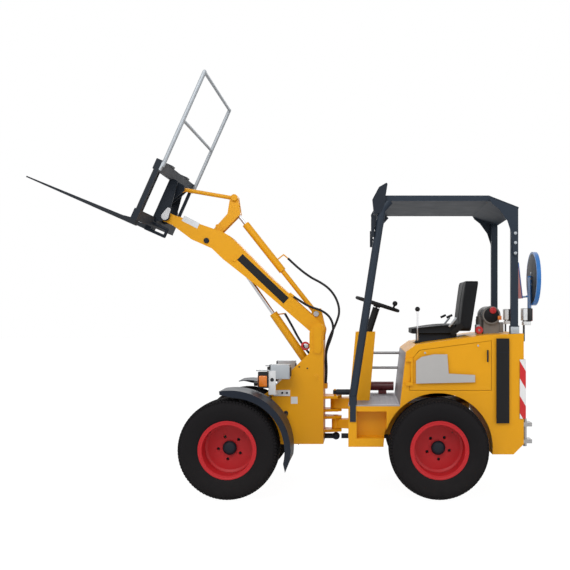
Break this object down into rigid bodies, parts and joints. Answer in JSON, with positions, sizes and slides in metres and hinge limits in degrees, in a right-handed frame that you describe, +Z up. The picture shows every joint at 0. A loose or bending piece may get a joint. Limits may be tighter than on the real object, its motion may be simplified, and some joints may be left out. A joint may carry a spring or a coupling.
{
  "type": "articulated mini loader",
  "caption": "Compact articulated wheel loader with a raised self-levelling boom, pallet forks, load guard, open operator station and overhead canopy.",
  "frame": {"origin": "on the ground under the articulation pivot, midway between the axles", "axes": "+X forward, +Y left, +Z up"},
  "size_m": [3.8707, 1.3, 3.1111],
  "materials": {
    "yellow_paint": "satin",
    "slate_paint": "satin",
    "dark_paint": "satin",
    "black_paint": "satin",
    "guard_black": "matte",
    "rim_red": "satin",
    "tyre_rubber": "matte",
    "rod_chrome": "polished",
    "grey_steel": "brushed",
    "galvanised": "galvanised",
    "fork_black": "satin",
    "engine_grey": "cast",
    "tread_plate": "chequered",
    "seat_black": "grained",
    "bottle_red": "gloss",
    "lamp_housing": "gloss",
    "sign_blue": "gloss",
    "grip_black": "matte",
    "yellow_pin": "satin"
  },
  "bodies": {
    "rear": {"rear_chassis": "yellow_paint", "engine_cover": "yellow_paint", "engine_block": "engine_grey", "footwell_floor": "tread_plate", "console": "yellow_paint", "steering_column": "black_paint", "rear_axle": "dark_paint", "rear_driveshaft": "dark_paint", "seat_bracket": "dark_paint", "seat_cushion": "seat_black", "seat_backrest": "seat_black", "canopy_roof": "slate_paint", "control_lever": "black_paint", "floor_bottle": "bottle_red", "side_rails": "grey_steel", "rear_lamps": "lamp_housing", "rear_sign": "sign_blue", "air_cleaner": "engine_grey", "tow_hitch": "grey_steel", "front_posts": "slate_paint", "rear_posts": "slate_paint", "post_lamps": "dark_paint"},
    "rear_left_wheel": {"rear_rim_left": "rim_red", "rear_tyre_left": "tyre_rubber"},
    "rear_right_wheel": {"rear_rim_right": "rim_red", "rear_tyre_right": "tyre_rubber"},
    "left_door": {"side_door_left": "yellow_paint"},
    "right_door": {"side_door_right": "yellow_paint"},
    "steering_wheel": {"steering_wheel": "grip_black"},
    "front": {"front_frame": "yellow_paint", "front_driveshaft": "dark_paint", "front_axle": "dark_paint", "front_mudguards": "guard_black", "headlamps": "lamp_housing", "boom_pivot_pin": "yellow_pin", "tilt_hose": "black_paint", "boom_hose": "black_paint", "lift_hose": "black_paint"},
    "front_left_wheel": {"front_rim_left": "rim_red", "front_tyre_left": "tyre_rubber"},
    "front_right_wheel": {"front_rim_right": "rim_red", "front_tyre_right": "tyre_rubber"},
    "steer_barrel": {"steering_cylinder_barrel": "dark_paint"},
    "steer_rod": {"steering_cylinder_rod": "rod_chrome"},
    "boom": {"boom": "yellow_paint"},
    "lift_barrel": {"lift_cylinder_barrel": "yellow_paint"},
    "lift_rod": {"lift_cylinder_rod": "rod_chrome"},
    "tilt_base": {"tilt_base_pin": "grey_steel"},
    "tilt_barrel": {"tilt_cylinder_barrel": "yellow_paint"},
    "tilt_rod": {"tilt_cylinder_rod": "rod_chrome"},
    "nose": {"nose_pin": "grey_steel"},
    "forks": {"quick_hitch": "dark_paint", "fork_carriage": "dark_paint", "pallet_forks": "fork_black", "load_guard": "galvanised"},
    "crank_axle": {"crank_pivot_pin": "grey_steel"},
    "crank": {"bell_crank": "yellow_paint"},
    "link_axle": {"crank_top_pin": "grey_steel"},
    "link": {"tilt_link": "yellow_paint"}
  },
  "joints": [
    {"name": "rear_left_spin", "type": "hinge", "parent": "rear", "child": "rear_left_wheel", "pos_m": [-0.763, 0.491, 0.364], "axis": [0, 1, 0], "continuous": true},
    {"name": "rear_right_spin", "type": "hinge", "parent": "rear", "child": "rear_right_wheel", "pos_m": [-0.763, -0.491, 0.364], "axis": [0, 1, 0], "continuous": true},
    {"name": "left_door_swing", "type": "hinge", "parent": "rear", "child": "left_door", "pos_m": [-0.57, 0.51, 0.92], "axis": [0, 0, -1], "range_deg": [0, 95]},
    {"name": "right_door_swing", "type": "hinge", "parent": "rear", "child": "right_door", "pos_m": [-0.57, -0.51, 0.92], "axis": [0, 0, 1], "range_deg": [0, 95]},
    {"name": "steering_wheel_turn", "type": "hinge", "parent": "rear", "child": "steering_wheel", "pos_m": [-0.328, 0, 1.421], "axis": [-0.309, 0, 0.9511], "range_deg": [-410, 410]},
    {"name": "articulation", "type": "hinge", "parent": "rear", "child": "front", "pos_m": [0, 0, 0.44], "axis": [0, 0, 1], "range_deg": [-40, 40]},
    {"name": "front_left_spin", "type": "hinge", "parent": "front", "child": "front_left_wheel", "pos_m": [0.763, 0.491, 0.364], "axis": [0, 1, 0], "continuous": true},
    {"name": "front_right_spin", "type": "hinge", "parent": "front", "child": "front_right_wheel", "pos_m": [0.763, -0.491, 0.364], "axis": [0, 1, 0], "continuous": true},
    {"name": "steer_barrel_swing", "type": "hinge", "parent": "front", "child": "steer_barrel", "pos_m": [0.006, 0.095, 0.735], "axis": [0, 0, 1], "range_deg": [-41.44, 41.44]},
    {"name": "steer_rod_slide", "type": "slide", "parent": "steer_barrel", "child": "steer_rod", "axis": [-0.9998, 0.0219, 0], "range_m": [-0.06305, 0.06305]},
    {"name": "boom_lift", "type": "hinge", "parent": "front", "child": "boom", "pos_m": [0.136, 0, 1.218], "axis": [0, -1, 0], "range_deg": [-80, 12], "deforming": ["tilt_hose", "boom_hose", "lift_hose"]},
    {"name": "lift_barrel_swing", "type": "hinge", "parent": "front", "child": "lift_barrel", "pos_m": [0.154, 0, 0.853], "axis": [0, -1, 0], "range_deg": [-71.54, 11.16]},
    {"name": "lift_rod_slide", "type": "slide", "parent": "lift_barrel", "child": "lift_rod", "axis": [0.5692, 0, 0.8222], "range_m": [-0.45355, 0.06973]},
    {"name": "tilt_base_swing", "type": "hinge", "parent": "front", "child": "tilt_base", "pos_m": [0.155, 0, 1.345], "axis": [0, -1, 0], "range_deg": [-85.1, 13.19]},
    {"name": "tilt_barrel_swing", "type": "hinge", "parent": "tilt_base", "child": "tilt_barrel", "pos_m": [0.155, 0, 1.345], "axis": [0, 1, 0], "range_deg": [-0.9, 4.82]},
    {"name": "tilt_rod_slide", "type": "slide", "parent": "tilt_barrel", "child": "tilt_rod", "axis": [0.6196, 0, 0.7849], "range_m": [-0.0198, 0.19486]},
    {"name": "nose_levelling", "type": "hinge", "parent": "boom", "child": "nose", "pos_m": [1.32183, 0, 2.10189], "axis": [0, -1, 0], "range_deg": [-7.99, 50.42]},
    {"name": "fork_tilt", "type": "hinge", "parent": "nose", "child": "forks", "pos_m": [1.32183, 0, 2.10189], "axis": [0, 1, 0], "range_deg": [-6, 65], "deforming": ["tilt_hose"]},
    {"name": "crank_levelling", "type": "hinge", "parent": "boom", "child": "crank_axle", "pos_m": [1.00747, 0, 1.91622], "axis": [0, -1, 0], "range_deg": [-4.88, 29.7]},
    {"name": "crank_swing", "type": "hinge", "parent": "crank_axle", "child": "crank", "pos_m": [1.00747, 0, 1.91622], "axis": [0, 1, 0], "range_deg": [-4.07, 39.17]},
    {"name": "link_levelling", "type": "hinge", "parent": "crank", "child": "link_axle", "pos_m": [0.799, 0, 2.258], "axis": [0, -1, 0], "range_deg": [-31.62, 5.17]},
    {"name": "link_swing", "type": "hinge", "parent": "link_axle", "child": "link", "pos_m": [0.799, 0, 2.258], "axis": [0, 1, 0], "range_deg": [-26.3, 2.88]}
  ],
  "couplings": [
    {"joint": "lift_barrel_swing", "follows": "boom_lift", "ratio": 0.888},
    {"joint": "lift_rod_slide", "follows": "boom_lift", "m_per_rad": 0.3234},
    {"joint": "tilt_base_swing", "follows": "boom_lift", "ratio": 1.0575},
    {"joint": "nose_levelling", "follows": "boom_lift", "ratio": -0.624},
    {"joint": "crank_levelling", "follows": "boom_lift", "ratio": -0.365},
    {"joint": "link_levelling", "follows": "boom_lift", "ratio": 0.389},
    {"joint": "tilt_barrel_swing", "follows": "fork_tilt", "ratio": 0.0665},
    {"joint": "tilt_rod_slide", "follows": "fork_tilt", "m_per_rad": 0.17},
    {"joint": "crank_swing", "follows": "fork_tilt", "ratio": 0.595},
    {"joint": "link_swing", "follows": "fork_tilt", "ratio": -0.397},
    {"joint": "steer_barrel_swing", "follows": "articulation", "ratio": -1.0235},
    {"joint": "steer_rod_slide", "follows": "articulation", "m_per_rad": -0.08745},
    {"joint": "steering_wheel_turn", "follows": "articulation", "ratio": 10}
  ]
}
